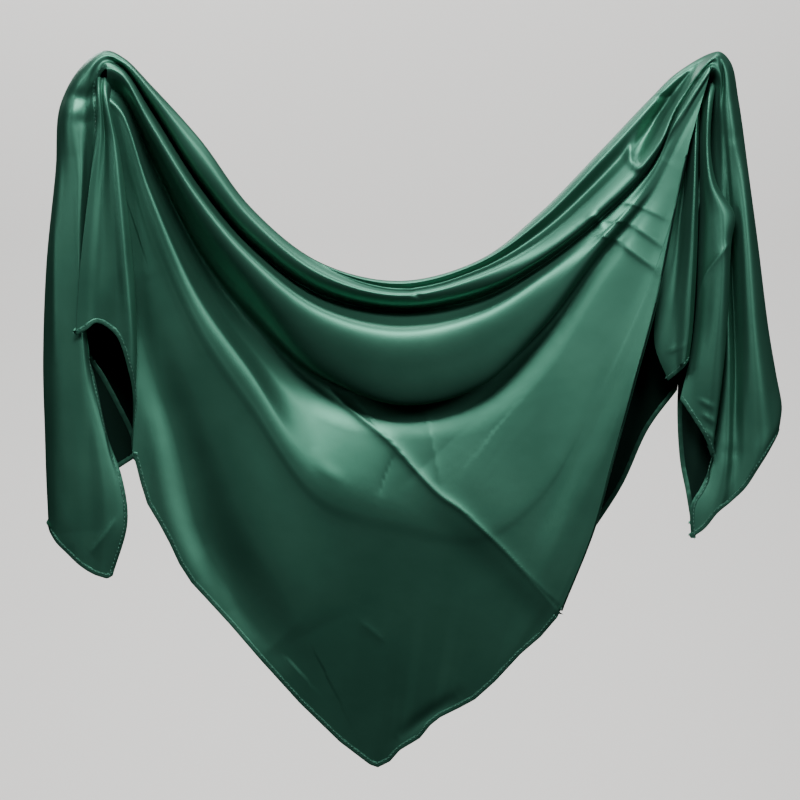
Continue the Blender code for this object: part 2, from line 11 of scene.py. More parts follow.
import bpy
import numpy as np
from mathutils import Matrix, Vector


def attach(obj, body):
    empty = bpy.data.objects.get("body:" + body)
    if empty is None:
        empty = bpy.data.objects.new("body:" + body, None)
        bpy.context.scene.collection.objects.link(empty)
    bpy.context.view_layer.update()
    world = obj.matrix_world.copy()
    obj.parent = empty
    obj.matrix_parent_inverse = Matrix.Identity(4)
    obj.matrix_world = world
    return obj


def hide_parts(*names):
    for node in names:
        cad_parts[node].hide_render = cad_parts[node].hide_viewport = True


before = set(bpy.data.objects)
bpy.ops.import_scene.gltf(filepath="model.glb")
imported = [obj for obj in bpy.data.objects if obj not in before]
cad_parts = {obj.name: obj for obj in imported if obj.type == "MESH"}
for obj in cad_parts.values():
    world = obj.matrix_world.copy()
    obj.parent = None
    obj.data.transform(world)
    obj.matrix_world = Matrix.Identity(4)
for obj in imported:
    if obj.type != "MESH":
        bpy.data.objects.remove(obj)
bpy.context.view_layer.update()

# -------- driving dimensions (mm)
METRE = 0.001         # one millimetre, in metres
THICKNESS = 0.35      # thickness of the cloth
CELL = 2.2            # size of the front grid's cells
FALL_CELL = 3.5       # the same down the front fall
BACK_CELL = 5.0       # the same down the back layer
PLEAT_CELL = 0.7 * CELL  # the same across the pleats
STITCH_PITCH = 3.0    # from one stitch to the next
STITCH_LENGTH = 2.0
STITCH_RADIUS = 0.20
STITCH_INSET = 2.7    # from the hem's edge
STITCH_HEIGHT = 0.42  # above the middle of the cloth
STITCH_BODY = 0.8     # share of a stitch's length that keeps its full thickness
STITCH_SIDES = 6
HEM_STEP = 1.2        # between the rings of the hem's mesh
HEM_ROWS = 3          # rows of the cloth's grid from its edge to where a hem points inwards
HEM_SWELL = 0.35      # how uneven the hem's thickness is
RIPPLES = ((1.13, 0.0), (0.71, 1.0), (0.37, 2.0))  # rate for each millimetre, and start
EDGE_ROLL = 1.9       # radius of the right fold of the front fall
EDGE_FLAP = 26.0      # cloth turned back behind that fold
FLAP_DROP = 11.0      # how far the turned cloth drops back behind the fall
EDGE_GROWTH = 0.35    # share of the fall's height over which that fold opens fully
EDGE_START = 0.04     # share of the fall's height above which the edge isn't rolled
ROLL_START = 0.35     # share of the roll's radius at its upper end
FLAP_START = 0.1      # share of the flap's width at its upper end
ROLL_COLUMNS = 8      # columns round the roll
FLAP_COLUMNS = 8      # columns over the flap
BLEND_COLUMNS = 6     # columns over which the fall moves in to meet the roll
FRONT_ROWS = 8        # rows of guide points down the front fall
BACK_ROWS = 9         # the same down the back fall
FRONT_EASE = 1.1      # how fast the front fall flattens below its last ridge
BACK_EASE = 1.5       # the same on the back fall
LEAST_CELLS = 2       # between two guide points across the cloth
LEAST_ROWS = 3        # the same down the cloth
CREASE_STEPS = 4      # steps of a crease's path for each of its points
CREASE_REACH = 4      # half widths beyond which a crease is left out
CREASE_END = 0.02     # share of a crease's path over which its ends stay level
CREASE_FADE = 0.6     # how evenly a crease keeps its height: smaller is more even
TINY = 1e-9
SHORTEST = 0.01       # least distance between two guide points


# -------- swags, hold to hold
# Where along the span each swag is measured.
STATIONS = dict(left_neck=14, left_arm=35, left_mid_arm=72, left_low_arm=110, left_low=162,
                lowest=222, right_low=282, right_low_arm=327, right_mid_arm=372,
                right_arm=410, right_neck=432)
DEPTH_STATIONS = ("left_arm", "left_mid_arm", "lowest", "right_mid_arm", "right_arm")

# A strand is one fold line of cloth that hangs from the left hold to the right one, from the
# back of the scarf over its top edge to the front. root: where it crosses the hold.
# forward: its depth at left_arm, left_mid_arm, lowest, right_mid_arm and right_arm.
# drops: its drop at each station.
Strand = namedtuple("Strand", "name left_root forward drops right_root")
STRANDS = (
    Strand("back_swag", (0, -3, -28), (-25, -24, -27, -24, -25),
        (10, 48, 104, 160, 212, 235, 215, 174, 120, 68, 34), (461, -3, -28)),
    Strand("back_valley", (0, 2, -26), (-20, -17, -16, -16, -20),
        (4, 34, 80, 134, 181, 200, 183, 146, 97, 51, 23), (461.5, 2, -26)),
    Strand("back_roll", (0, 6, -23), (-21, -20, -20, -19, -21),
        (-1, 24, 66, 118, 161, 178, 162, 127, 80, 38, 15), (462, 6, -23)),
    Strand("back_top", (0, 8.5, -19), (-17, -16, -14, -14, -16),
        (-4, 18, 59, 110, 151, 168, 150, 115, 69, 29, 8.5), (462, 8.5, -19)),
    Strand("top_edge", (0, 9.5, -15), (-13, -13, -8, -9, -12),
        (-4, 17, 58, 109, 150, 164, 148, 113, 67, 27, 6), (462, 9, -15)),
    Strand("edge_roll", (0, 9.5, -10.5), (-8, -7, -2, -1, -4),
        (-4, 17, 58, 109, 151, 166, 150, 119, 74, 33, 10.5), (462, 9, -10.5)),
    Strand("crease", (0, 9, -6), (-2, -1, -4, -5, -5),
        (-3, 18, 59, 110, 152, 170, 155, 128, 87, 44, 16), (461, 8, -6)),
    Strand("roll_crest", (0, 7.5, -1), (4, 4.5, 6, 3, 1),
        (-2, 21, 68, 117, 159, 175, 161, 137, 97, 56, 22), (460, 6, -1)),
    Strand("roll_under", (1, 4.5, 3), (2, 1.5, 1.5, 8.5, 7),
        (1, 29, 85, 130, 168, 182, 170, 147, 112, 73, 28.5), (458.5, 3, 3)),
    Strand("valley_1", (1.5, 0.5, 3), (-12, -16, -14, -1, 0),
        (4, 35, 93, 137, 174, 186, 177, 153, 118, 79, 33), (457, -1, 3)),
    Strand("swag_slope", (2, -2.5, 6), (4, 2, 0, 2, 4),
        (7, 38.5, 96, 141, 180, 193, 183, 157, 121, 81.5, 37.5), (455.5, -4, 5)),
    Strand("swag_crest", (3, -6, 9), (12, 12.5, 15.8, 6, 5),
        (10, 45, 103, 147, 187, 203, 190, 163, 129, 87, 42), (454, -8, 6)),
    Strand("belly", (3, -11, 7.5), (9.5, 11, 18.4, 8.5, 5.5),
        (16, 54, 115, 161, 209, 231, 215, 181, 134, 91, 46.5), (453, -12, 6)),
    Strand("belly_edge", (3, -15, 5), (-3, -2, 12, 8, 5.5),
        (22, 63, 131, 179, 232, 257, 243, 200, 139, 95, 51), (452, -16, 6)),
    Strand("valley_2", (3, -19, 3), (-14, -19, -7, 1, 5),
        (27, 74, 145, 194, 238, 249, 238, 203, 146, 100, 56.5), (449.5, -24, 6)),
    Strand("panel", (3, -23, 4), (-6, -9, 3, 4.5, 6),
        (32, 86, 162, 215, 268, 282, 276, 240, 170, 111, 65), (445, -39, 7)),
    Strand("ridge_3", (3, -28, 6), (8, 9, 11.5, 10, 9),
        (38, 96, 178, 233, 307, 327, 338, 306, 225, 148, 86), (439, -60, 8)),
    Strand("ridge_side", (3.6, -33, 5.5), (9, 11.5, 12.5, 11.5, 10.5),
        (45, 110, 196, 253, 324, 343, 353, 322, 243, 160, 93), (437.5, -66, 8.2)),
)

# -------- front and back falls
# Side lines of the front fall, from the hold down to the hem: (across, up, forward).
FRONT_LEFT = ((3.6, -33, 5.5), (6, -58, 4.2), (11, -85, 3.5), (15, -125, 3.5),
              (18, -170, 4.5), (21, -215, 6), (22, -255, 7), (22, -292, 8))
FRONT_RIGHT = ((437.5, -66, 8.2), (434, -80, 9.5), (429.5, -103, 11), (419, -160, 14),
               (407, -207, 15.5), (392, -261, 16), (377, -315, 15.5), (365, -357, 15),
               (343, -411, 13.5))
# Where the hem meets each line that drops from the strands' stations, root to root.
FRONT_HEM_ACROSS = (22, 25, 33, 57, 94, 147, 205.5, 252, 278, 300, 318, 331, 343)
FRONT_HEM_FORWARD = (8, 8, 8, 8, 8, 8, 9, 10, 11, 12, 12.5, 13, 13)
# Outline of the front hem, left to right, round the front corner: (across, up).
FRONT_HEM = ((22, -292), (25, -303), (28, -315), (33, -331), (42, -346), (49.5, -360),
             (57, -376), (66, -390), (78, -403), (94.5, -421), (117, -447), (147, -480),
             (177, -509), (199.5, -526), (205.5, -528), (214.5, -523.5), (222, -515),
             (237, -506), (244.5, -496.5), (252, -490.5), (267, -483), (278, -477),
             (293, -463.5), (312, -443), (327, -430), (343, -411))

BACK_LEFT = ((0, -3, -28), (-2, -40, -27), (-8, -100, -25), (-16, -170, -24), (-22, -225, -22))
BACK_RIGHT = ((461, -3, -28), (458, -40, -27), (452, -100, -25), (443, -175, -23),
              (431.5, -246, -20))
BACK_HEM = ((-22, -225, -22), (-12, -250, -22), (2, -275, -22), (18, -296, -22),
            (72, -345, -22), (147, -433, -21), (222, -478, -20), (297, -430, -20),
            (345, -385, -20), (366, -355, -20), (390, -318, -20), (410, -275, -20),
            (431.5, -246, -20))

# -------- tails and pleats
# Each row is a fold line that falls from the hold to the hem, and each column a height on it:
# (across, up, forward). Rows run round the tail from its back hem to its front hem, and go on
# from the ends of the strands back_valley to swag_crest.
Tail = namedtuple("Tail", "name neck shoulder upper chest middle lower foot heel hem")
LEFT_TAIL = (
    Tail("back_hem", (-8, -10, -21), (-14, -40, -17), (-15, -85, -16), (-19, -150, -15),
        (-14, -212, -14), (-1, -234, -13), (10, -254, -12), (23, -282, -11), (24, -296, -10)),
    Tail("back_mid", (-14, -8, -20), (-24, -38, -17), (-26, -82, -17), (-31, -150, -16),
        (-33, -215, -15), (-26, -250, -14), (-18, -275, -13), (-8, -300, -12), (0, -312, -11)),
    Tail("back_turn", (-18, -7, -16), (-31, -35, -15), (-34, -80, -15), (-41, -150, -15),
        (-43, -222, -14), (-41, -270, -13), (-39, -300, -12), (-36, -325, -11), (-34, -342, -10)),
    Tail("left_fold", (-20, -6, -10), (-34, -33, -9), (-37, -80, -9), (-44, -150, -9),
        (-46.5, -225, -8), (-45, -280, -7), (-44, -310, -6), (-43, -332, -6), (-42, -348, -5)),
    Tail("fold_line", (-18, -4, -4), (-32, -34, -3), (-34, -82, 0), (-38.5, -150, 0),
        (-39.5, -230, 0), (-38.5, -285, 0), (-38, -315, 0), (-37.5, -340, 0), (-37, -359, 0)),
    Tail("outer", (-15, -4, 1), (-28, -36, 4), (-29, -84, 3.4), (-31, -150, 3.4),
        (-31, -232, 3.4), (-30, -290, 3.4), (-29, -320, 3.4), (-28.5, -347, 4), (-28, -368, 3)),
    Tail("crest", (-12, -4, 4), (-23, -38, 7), (-23, -86, 6.2), (-23, -150, 6.2),
        (-22, -234, 6.2), (-20, -292, 6.2), (-19, -325, 6.2), (-18, -353, 6), (-17, -378, 5)),
    Tail("slope", (-9, -5, 6), (-17, -40, 6), (-17, -88, 7.6), (-17, -175, 7.6),
        (-14, -236, 7.6), (-10, -294, 7.6), (-8, -328, 7.6), (-7.5, -356, 7), (-7, -384, 6)),
    Tail("trough", (-7, -8, 4), (-12, -42, 3), (-12, -90, 3), (-14.5, -190, 4),
        (-10, -238, 5.5), (-3, -292, 9), (1, -326, 10), (1, -357, 9), (-1, -386, 7)),
    Tail("band", (-6, -11, 3), (-8, -44, 0), (-8, -92, 0), (-14.5, -198, 1),
        (-7.5, -240, 3), (3, -290, 7), (9, -322, 8), (9, -352, 8), (3, -387, 6)),
    Tail("front_hem", (-4, -14, 2), (-4, -46, -1), (-4, -94, -2), (-15.5, -205, 0),
        (-7, -236, 0.5), (3, -281, 3), (14, -312, 4), (18, -345, 4), (7, -385, 5)),
)
RIGHT_TAIL = (
    Tail("back_hem", (465.5, -5, -18), (458, -40, -13), (447, -90, -13), (438, -150, -13),
        (433, -220, -13), (431, -262, -12), (433, -300, -10), (437, -322, -8), (441, -348, -5)),
    Tail("back_mid", (468, -3, -17.5), (467, -36, -16), (464, -88, -16), (465, -148, -16),
        (466, -215, -16), (466, -262, -15), (466, -295, -13), (464, -315, -12), (463, -328, -10)),
    Tail("back_turn", (470, -3, -17), (475, -32, -16), (481, -84, -16), (488, -140, -15),
        (495, -205, -14), (500, -240, -13), (502, -262, -12), (501, -273, -12), (499, -283, -11)),
    Tail("right_fold", (471, 1, -11), (477, -28, -10), (484, -81, -9), (491, -135, -8),
        (499, -200, -7), (505, -235, -7), (509, -258, -6), (508, -268, -5), (506, -278, -5)),
    Tail("stripe", (469, 0, -5), (474, -30, -3), (480, -82, -1), (486, -137, 1),
        (492, -205, 2), (497, -243, 2), (500, -268, 2), (501, -280, 2), (499, -291, 2)),
    Tail("stripe_side", (467, -2, -1), (470, -32, 2), (475, -84, 4), (480, -140, 6),
        (485, -210, 7), (488, -250, 7), (490, -278, 6), (491, -292, 6), (490, -305, 5)),
    Tail("face", (465, -4, 1), (467, -34, 3), (471, -86, 4), (475, -143, 4),
        (479, -215, 4), (480, -257, 4), (481, -290, 4), (481, -305, 4), (481, -319, 4)),
    Tail("trough", (464, -6, -1), (464, -36, 0), (468, -88, 0), (471, -146, -1),
        (474, -220, -1), (474, -265, 0), (473, -300, 0), (472, -316, 1), (470, -330, 1)),
    Tail("ridge", (462, -9, 2), (462, -38, -2), (465, -90, 0), (467, -149, 1),
        (469, -225, 3), (468, -272, 3), (465, -310, 4), (463, -326, 4), (460, -338, 4)),
    Tail("under", (461, -12, 1), (460, -40, -6), (461, -92, -3), (462, -152, -3),
        (463, -230, -2), (460, -280, 0), (456, -318, 3), (453, -335, 4), (450, -350, 4)),
    Tail("front_hem", (455, -14, -6), (451, -42, -13), (451, -95, -12), (454, -155, -10),
        (457, -235, -5), (455, -300, -2), (448, -318, 1), (440, -332, 2), (440, -357, 2)),
)

Pleat = namedtuple("Pleat", "name throat neck upper chest middle low hem")
LEFT_PLEATS = (
    Pleat("return", (-2.5, -6, -7), (0, -20, 1.2), (-0.5, -50, 2), (-4, -95, 5), (-8, -150, 8),
        (-10, -178, 9), (-12, -196, 9)),
    Pleat("outer_edge", (-4.5, -5, -5), (-4.6, -20, 8.2), (-5, -51, 9), (-10, -95, 12), (-16.5, -152, 13),
        (-18.5, -180, 13), (-20, -205, 13)),
    Pleat("outer_face", (-3, -4.5, -4), (-2.9, -21, 10), (-2, -52, 11), (-6, -96, 12), (-11, -152, 13),
        (-12, -178, 13), (-12, -201, 13)),
    Pleat("valley", (-1, -4, -5), (-1.2, -22, 7.7), (1, -55, 8), (-1, -103, 9.5), (-3, -155, 10.5),
        (-4, -176, 11), (-4.5, -196, 11)),
    Pleat("crest", (1.5, -4.5, -4), (0.8, -23.5, 10), (4.5, -60, 11.5), (7, -103, 14.5), (10, -150, 15.5),
        (11, -180, 16), (10, -205, 15.5)),
    Pleat("crest_side", (4.5, -6, -4), (2.6, -25, 10.5), (9, -63, 13), (13, -103, 16.5), (17, -150, 18.5),
        (20.5, -195, 18.5), (19.5, -231, 16)),
    Pleat("inner_edge", (6, -9, -4), (4, -27, 9.3), (12, -66, 9), (17, -103, 11), (22, -150, 12),
        (25.5, -212, 12), (23, -252, 12.5)),
)

Lappet = namedtuple("Lappet", "name throat neck upper bend tip notch middle low hem")
RIGHT_PLEATS = {"outer_pleat_cloth": (
    Lappet("return", (455, -4, -14), (453, -26, -5), (451, -66, -2), (452, -92, -1), (458, -115, 1),
        (460, -140, 0), (459, -190, -0.5), (456, -235, 0.5), (452, -288, 3)),
    Lappet("outer_edge", (463, -5, -12), (457, -28, -1), (454.5, -66, 4), (459, -92, 6), (472, -115, 7),
        (469.5, -137, 8), (467, -190, 9), (463, -235, 9), (455, -296, 6)),
    Lappet("face", (459, -5, -11), (453.5, -29, 3), (451.5, -66, 8), (454, -92, 12), (462, -115, 14),
        (463, -137, 15), (460, -190, 15), (456, -232, 13), (451, -284, 8)),
    Lappet("side", (455, -6, -11), (451, -30, 0), (449.5, -66, 4), (450, -92, 7), (453, -115, 9),
        (453, -137, 9), (451, -190, 9), (447, -228, 9), (443, -270, 6)),
    Lappet("valley", (451, -9, -11), (448, -32, -5), (447, -66, -1.8), (447, -92, 0.2), (447, -115, 0.2),
        (446, -137, 0.6), (444, -185, 0.6), (440, -217, 1.6), (432, -253, 2)),
), "inner_pleat_cloth": (
    Lappet("turn", (450, -20, -8), (447, -40, -2), (445.5, -66, 2), (445.2, -92, 4), (445, -115, 5),
        (444.5, -137, 5), (442.5, -178, 5), (440.5, -205, 5), (438, -224, 5)),
    Lappet("crest", (448, -21, -6), (444.5, -40, 1), (443, -66, 7), (442, -92, 11), (441, -115, 13),
        (440, -140, 13), (438, -178, 13), (436.5, -206, 12), (434, -229, 10)),
    Lappet("face", (445.5, -23, -8), (440, -43, -4), (438, -70, -1), (435, -97, 0), (432, -120, 1),
        (430, -143, 2), (427, -178, 4), (427, -208, 5), (429, -234, 6)),
    Lappet("inner_edge", (443, -26, -8), (436, -48, -4), (432, -75, 0.5), (428, -100, 2.5), (424, -122, 4),
        (421, -145, 3.5), (415, -178, 2.7), (413, -212, 1), (423, -239, 2)),
)}


# -------- curves
def steps(rows):
    """Distances between rows of points that follow each other."""
    return np.linalg.norm(np.diff(rows, axis=0), axis=-1)


def running(lengths):
    """Running total of lengths, from 0."""
    return np.concatenate([[0], np.cumsum(lengths)])


def blend(part, row, values, step, slope):
    """Cubic curve from each row's value to the next one's, read at a part of the way."""
    ease = 3 * part**2 - 2 * part**3
    return ((1 - ease) * values[row] + ease * values[row + 1]
            + (part**3 - 2 * part**2 + part) * step[row] * slope[row]
            + (part**3 - part**2) * step[row] * slope[row + 1])


def through(points, where):
    """Smooth curves through rows of points, read at fractional row numbers."""
    rows = np.asarray(points, float)
    step = np.sqrt(np.maximum(steps(rows)[..., None], SHORTEST))
    slope = np.diff(rows, axis=0) / step
    middle = (slope[:-1] * step[1:] + slope[1:] * step[:-1]) / (step[:-1] + step[1:])
    where = np.asarray(where, float)
    row = np.minimum(where.astype(int), len(rows) - 2)
    part = (where - row).reshape((-1,) + (1,) * (rows.ndim - 1))
    return blend(part, row, rows, step, np.concatenate([slope[:1], middle, slope[-1:]]))


def evenly(points, count):
    """Smooth curves through rows of points, read at so many even row numbers."""
    return through(points, np.linspace(0, len(points) - 1, count))


def curve(x, known_x, known_y):
    """Smooth value at x of a table whose first column rises."""
    known_x = np.asarray(known_x, float)
    known_y = np.asarray(known_y, float)
    step = np.diff(known_x)
    slope = np.diff(known_y) / step
    rising = slope[:-1] * slope[1:] > 0
    total = np.where(rising, slope[:-1] + slope[1:], 1)
    middle = np.where(rising, 2 * slope[:-1] * slope[1:] / total, 0)
    row = np.clip(np.searchsorted(known_x, x, side="right") - 1, 0, len(step) - 1)
    part = np.clip((x - known_x[row]) / step[row], 0, 1)
    return blend(part, row, known_y, step, np.concatenate([slope[:1], middle, slope[-1:]]))


def numbers(gaps, cells, least):
    """Fractional row numbers that cut each gap between rows into cells, and at least so many."""
    counts = np.maximum(least, np.ceil(gaps / cells)).astype(int)
    parts = [np.arange(count) / count + k for k, count in enumerate(counts)]
    return np.concatenate(parts + [[float(len(counts))]])


def spread(points, cell):
    """Fractional row numbers along rows of points, about one cell apart at the widest place."""
    rows = np.asarray(points, float).reshape(len(points), -1, 3)
    return numbers(steps(rows).max(axis=1), cell, LEAST_CELLS)


def strand_points(strand):
    """The points of one strand, from its left root to its right one."""
    across = tuple(STATIONS.values())
    measured = [STATIONS[name] for name in DEPTH_STATIONS]
    known_x = (strand.left_root[0], *measured, strand.right_root[0])
    known_y = (strand.left_root[2], *strand.forward, strand.right_root[2])
    forward = curve(across, known_x, known_y)
    hung = [(x, -drop, y) for x, drop, y in zip(across, strand.drops, forward)]
    return np.array([strand.left_root] + hung + [strand.right_root], float)


def strand_number(name):
    """The place of a strand in the table."""
    return [strand.name for strand in STRANDS].index(name)


def tail_row(strand, tail):
    """The tail's fold line that goes on from a strand, or None."""
    row = strand_number(strand.name) - strand_number("back_valley")
    return tail[row][1:] if 0 <= row < len(tail) else None


def shares(line):
    """How far along a line each of its points lies, from 0 to 1."""
    start = running(steps(line))
    return start / start[-1]


def fill(top, bottom, left, right, ease):
    """A sheet between four side lines. Its depth eases from the top line to the bottom one."""
    side = np.linspace(0, 1, len(top))[None, :, None]
    down = (1 - side) * shares(left)[:, None, None] + side * shares(right)[:, None, None]
    eased = 1 - (1 - down) ** ease
    down = np.concatenate([down, down, eased], axis=2)
    return ((1 - down) * top[None] + down * bottom[None]
            + (1 - side) * left[:, None] + side * right[:, None]
            - (1 - side) * (1 - down) * top[0] - side * (1 - down) * top[-1]
            - (1 - side) * down * bottom[0] - side * down * bottom[-1])


# -------- the grid of the whole scarf
class Drape:
    """The scarf's grid: points[row, column], with nan where there is no cloth.

    fallen is how far down the front fall each row lies, and the tails' and pleats' columns are
    those before left and from right on.
    """

    def __init__(self):
        swag_points = np.stack([strand_points(strand) for strand in STRANDS])
        self.columns = spread(swag_points.transpose(1, 0, 2), CELL)
        swags = self.swag_lines()
        back = self.back_guides(swags)
        front = self.front_guides(swags)
        guides = np.concatenate([back[:0:-1], swags, front[1:]])
        self.first_strand = len(back) - 1
        self.last_strand = self.first_strand + len(STRANDS) - 1
        cells = np.full(len(guides) - 1, CELL)
        cells[:self.first_strand] = BACK_CELL
        cells[self.last_strand:] = FALL_CELL
        self.rows = numbers(steps(guides).max(axis=1), cells, LEAST_ROWS)
        self.fallen = (self.rows - self.last_strand) / (FRONT_ROWS - 1)
        middle = through(guides, self.rows)
        left_tail = self.tail(LEFT_TAIL, middle[:, 0], root=0, inner=1)
        right_tail = self.tail(RIGHT_TAIL, middle[:, -1], root=-1, inner=-2)
        left = side_block(left_tail, self.left_pleat_columns(middle[:, 0]))[:, ::-1]
        right = side_block(right_tail, self.right_fold(middle))
        self.points = np.concatenate([left, middle, right], axis=1)
        self.left = left.shape[1]
        self.right = self.left + middle.shape[1]

    def swag_lines(self):
        """The strands, each on the grid's columns."""
        lines = []
        for strand in STRANDS:
            points = strand_points(strand)
            left = tail_row(strand, LEFT_TAIL)
            right = tail_row(strand, RIGHT_TAIL)
            before = 2 * points[0] - points[1] if left is None else left[0]
            after = 2 * points[-1] - points[-2] if right is None else right[0]
            lines.append(through(np.vstack([before, points, after]), self.columns + 1))
        return np.stack(lines)

    def front_guides(self, swags):
        """Rows of guide points from the last strand down to the front hem."""
        count = len(FRONT_HEM_ACROSS)
        across = curve(self.columns, range(count), FRONT_HEM_ACROSS)
        forward = curve(self.columns, range(count), FRONT_HEM_FORWARD)
        outline = np.array(FRONT_HEM, float)
        up = np.interp(across, outline[:, 0], outline[:, 1])
        hem = np.column_stack([across, up, forward])
        left = evenly(FRONT_LEFT, FRONT_ROWS)
        return fill(swags[-1], hem, left, evenly(FRONT_RIGHT, FRONT_ROWS), FRONT_EASE)

    def back_guides(self, swags):
        """Rows of guide points from the first strand down to the back hem."""
        hem = through(BACK_HEM, self.columns / self.columns[-1] * (len(BACK_HEM) - 1))
        left = evenly(BACK_LEFT, BACK_ROWS)
        return fill(swags[0], hem, left, evenly(BACK_RIGHT, BACK_ROWS), BACK_EASE)

    def tail(self, table, root_line, root, inner):
        """A tail's columns, from its root outwards, on the grid's rows."""
        first = strand_number("back_valley")
        lines = []
        for strand, row in zip(STRANDS[first:], table):
            points = strand_points(strand)
            lines.append(np.vstack([points[inner], points[root], row[1:]]))
        lines = np.stack(lines)
        along = spread(lines.transpose(1, 0, 2)[1:], CELL) + 1
        sheet = np.stack([through(line, along) for line in lines])
        rows = self.rows - self.first_strand - first
        inside = (rows >= -TINY) & (rows <= len(table) - 1 + TINY)
        full = np.full((len(rows), len(along), 3), np.nan)
        full[inside] = through(sheet, np.clip(rows[inside], 0, len(table) - 1))
        fade = np.clip(1 - (along - 1), 0, 1) ** 2
        shift = root_line - full[:, 0]
        full += shift[:, None] * fade[None, :, None]
        return full[:, 1:]

    def left_pleat_columns(self, root_line):
        """The left pleats, from the front fall's left edge outwards, on the grid's rows."""
        inside = self.fallen >= -TINY
        down = np.clip(self.fallen[inside], 0, 1)
        lines = [through(row[1:], down * (len(row) - 2)) for row in LEFT_PLEATS]
        lines = np.stack(lines[::-1])
        lines = np.concatenate([root_line[inside][None], lines])
        across = spread(lines, PLEAT_CELL)
        full = np.full((len(self.rows), len(across) - 1, 3), np.nan)
        full[inside] = through(lines, across[1:]).transpose(1, 0, 2)
        return full

    def right_fold(self, middle):
        """Columns that roll the front fall's right edge to its back, with a flap behind it."""
        inside = self.fallen >= EDGE_START
        edge = middle[:, -1].copy()
        along = np.gradient(edge, axis=0)
        inward = unit(np.column_stack([along[:, 1], -along[:, 0], np.zeros(len(edge))]))
        grown = np.clip(self.fallen / EDGE_GROWTH, 0, 1)[:, None]
        radius = EDGE_ROLL * (ROLL_START + (1 - ROLL_START) * grown)
        flap = EDGE_FLAP * (FLAP_START + (1 - FLAP_START) * grown)
        behind = np.array([0, 0, -1.0])
        for column in range(1, BLEND_COLUMNS + 1):
            part = (BLEND_COLUMNS + 1 - column) / BLEND_COLUMNS
            middle[inside, -column] += (inward * radius * part)[inside]
        columns = []
        for angle in np.pi * np.arange(1, ROLL_COLUMNS + 1) / ROLL_COLUMNS:
            columns.append(edge + inward * radius * (1 - np.sin(angle))
                           + behind * radius * (1 - np.cos(angle)))
        for reach in np.arange(1, FLAP_COLUMNS + 1) / FLAP_COLUMNS:
            columns.append(edge + inward * (radius + flap * reach)
                           + behind * (2 * radius + FLAP_DROP * grown * reach))
        full = np.stack(columns, axis=1)
        full[~inside] = np.nan
        return full

    def row_of(self, strand):
        """The grid row that follows a strand."""
        return int(np.argmin(abs(self.rows - self.first_strand - strand_number(strand))))


def side_block(upper, lower):
    """Two sets of side columns on different rows, as one block, from the middle outwards."""
    block = np.full((len(upper), max(upper.shape[1], lower.shape[1]), 3), np.nan)
    for part in (upper, lower):
        there = np.isfinite(part[..., 0]).any(axis=1)
        block[there, :part.shape[1]] = part[there]
    return block


def differences(sheet, axis):
    """Steps of a sheet along an axis: central ones, and one-sided ones at its edges."""
    rows = np.moveaxis(sheet, axis, 0)
    step = np.diff(rows, axis=0)
    none = np.full_like(rows[:1], np.nan)
    ahead = np.concatenate([step, none])
    behind = np.concatenate([none, step])
    middle = (ahead + behind) / 2
    one_sided = np.where(np.isfinite(ahead), ahead, behind)
    return np.moveaxis(np.where(np.isfinite(middle), middle, one_sided), 0, axis)


def unit(vectors):
    """The same directions, each of length one."""
    return vectors / np.maximum(np.linalg.norm(vectors, axis=-1, keepdims=True), TINY)


def facing(sheet):
    """Unit normals of a sheet at its points."""
    return unit(np.cross(differences(sheet, 0), differences(sheet, 1)))


# -------- fine folds
# A crease raises (or sinks, with a negative height) the cloth along a path of (across, up).
# left and right are its half widths on each side of the path, and sharp ones are ironed.
Crease = namedtuple("Crease", "name height left right path sharp", defaults=(False,))
